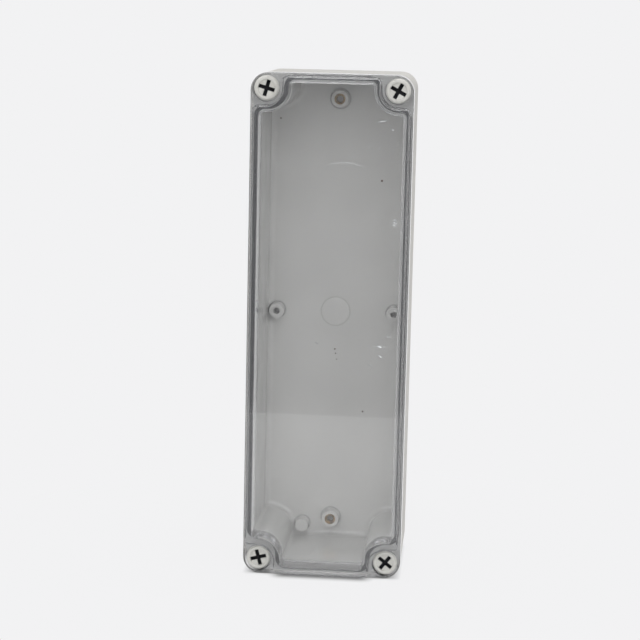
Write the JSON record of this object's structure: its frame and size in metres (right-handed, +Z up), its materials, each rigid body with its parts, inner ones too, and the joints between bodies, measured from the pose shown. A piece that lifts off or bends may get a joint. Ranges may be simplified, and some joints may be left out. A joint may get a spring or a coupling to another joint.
{
  "type": "waterproof project box",
  "caption": "Long moulded enclosure with a smoked clear raised lid, a seal in its rim, captive corner screws and brass-insert bosses inside.",
  "frame": {"origin": "centre of the box's outline at the face it stands on, its lower short end", "axes": "+X along the width, to the right seen from the lid; -Y out of the lid, +Y out of the back; +Z up along the length"},
  "size_m": [0.079, 0.07, 0.25],
  "materials": {
    "box_abs": "light grey moulded ABS with a fine matt texture",
    "lid_polycarbonate": "smoked clear moulded polycarbonate, polished",
    "seal_silicone": "matt silicone rubber",
    "screw_cap_nylon": "light grey moulded nylon",
    "screw_steel": "dark blackened steel",
    "insert_brass": "turned brass"
  },
  "bodies": {
    "base": {"base": "box_abs", "lid_gasket": "seal_silicone", "post_insert_top_left": "insert_brass", "post_insert_top_right": "insert_brass", "post_insert_bottom_left": "insert_brass", "post_insert_bottom_right": "insert_brass", "floor_insert_top": "insert_brass", "floor_insert_bottom": "insert_brass"},
    "lid": {"lid": "lid_polycarbonate"},
    "screw_travel_top_left": {"screw_ring_top_left": "seal_silicone"},
    "screw_top_left": {"screw_cap_top_left": "screw_cap_nylon", "screw_core_top_left": "screw_steel"},
    "screw_travel_top_right": {"screw_ring_top_right": "seal_silicone"},
    "screw_top_right": {"screw_cap_top_right": "screw_cap_nylon", "screw_core_top_right": "screw_steel"},
    "screw_travel_bottom_left": {"screw_ring_bottom_left": "seal_silicone"},
    "screw_bottom_left": {"screw_cap_bottom_left": "screw_cap_nylon", "screw_core_bottom_left": "screw_steel"},
    "screw_travel_bottom_right": {"screw_ring_bottom_right": "seal_silicone"},
    "screw_bottom_right": {"screw_cap_bottom_right": "screw_cap_nylon", "screw_core_bottom_right": "screw_steel"}
  },
  "joints": [
    {"name": "lid_lift", "type": "slide", "parent": "base", "child": "lid", "axis": [0, -1, 0], "range_m": [0, 0.08]},
    {"name": "screw_travel_top_left", "type": "slide", "parent": "lid", "child": "screw_travel_top_left", "axis": [0, -1, 0], "range_m": [0, 0.008]},
    {"name": "screw_turn_top_left", "type": "hinge", "parent": "screw_travel_top_left", "child": "screw_top_left", "pos_m": [-0.0319, -0.0237, 0.2424], "axis": [0, -1, 0], "range_deg": [0, 4114.3]},
    {"name": "screw_travel_top_right", "type": "slide", "parent": "lid", "child": "screw_travel_top_right", "axis": [0, -1, 0], "range_m": [0, 0.008]},
    {"name": "screw_turn_top_right", "type": "hinge", "parent": "screw_travel_top_right", "child": "screw_top_right", "pos_m": [0.0319, -0.0237, 0.2424], "axis": [0, -1, 0], "range_deg": [0, 4114.3]},
    {"name": "screw_travel_bottom_left", "type": "slide", "parent": "lid", "child": "screw_travel_bottom_left", "axis": [0, -1, 0], "range_m": [0, 0.008]},
    {"name": "screw_turn_bottom_left", "type": "hinge", "parent": "screw_travel_bottom_left", "child": "screw_bottom_left", "pos_m": [-0.0319, -0.0237, 0.0076], "axis": [0, -1, 0], "range_deg": [0, 4114.3]},
    {"name": "screw_travel_bottom_right", "type": "slide", "parent": "lid", "child": "screw_travel_bottom_right", "axis": [0, -1, 0], "range_m": [0, 0.008]},
    {"name": "screw_turn_bottom_right", "type": "hinge", "parent": "screw_travel_bottom_right", "child": "screw_bottom_right", "pos_m": [0.0319, -0.0237, 0.0076], "axis": [0, -1, 0], "range_deg": [0, 4114.3]}
  ],
  "couplings": [
    {"joint": "screw_turn_top_left", "follows": "screw_travel_top_left", "rad_per_m": 8976},
    {"joint": "screw_turn_top_right", "follows": "screw_travel_top_right", "rad_per_m": 8976},
    {"joint": "screw_turn_bottom_left", "follows": "screw_travel_bottom_left", "rad_per_m": 8976},
    {"joint": "screw_turn_bottom_right", "follows": "screw_travel_bottom_right", "rad_per_m": 8976}
  ]
}
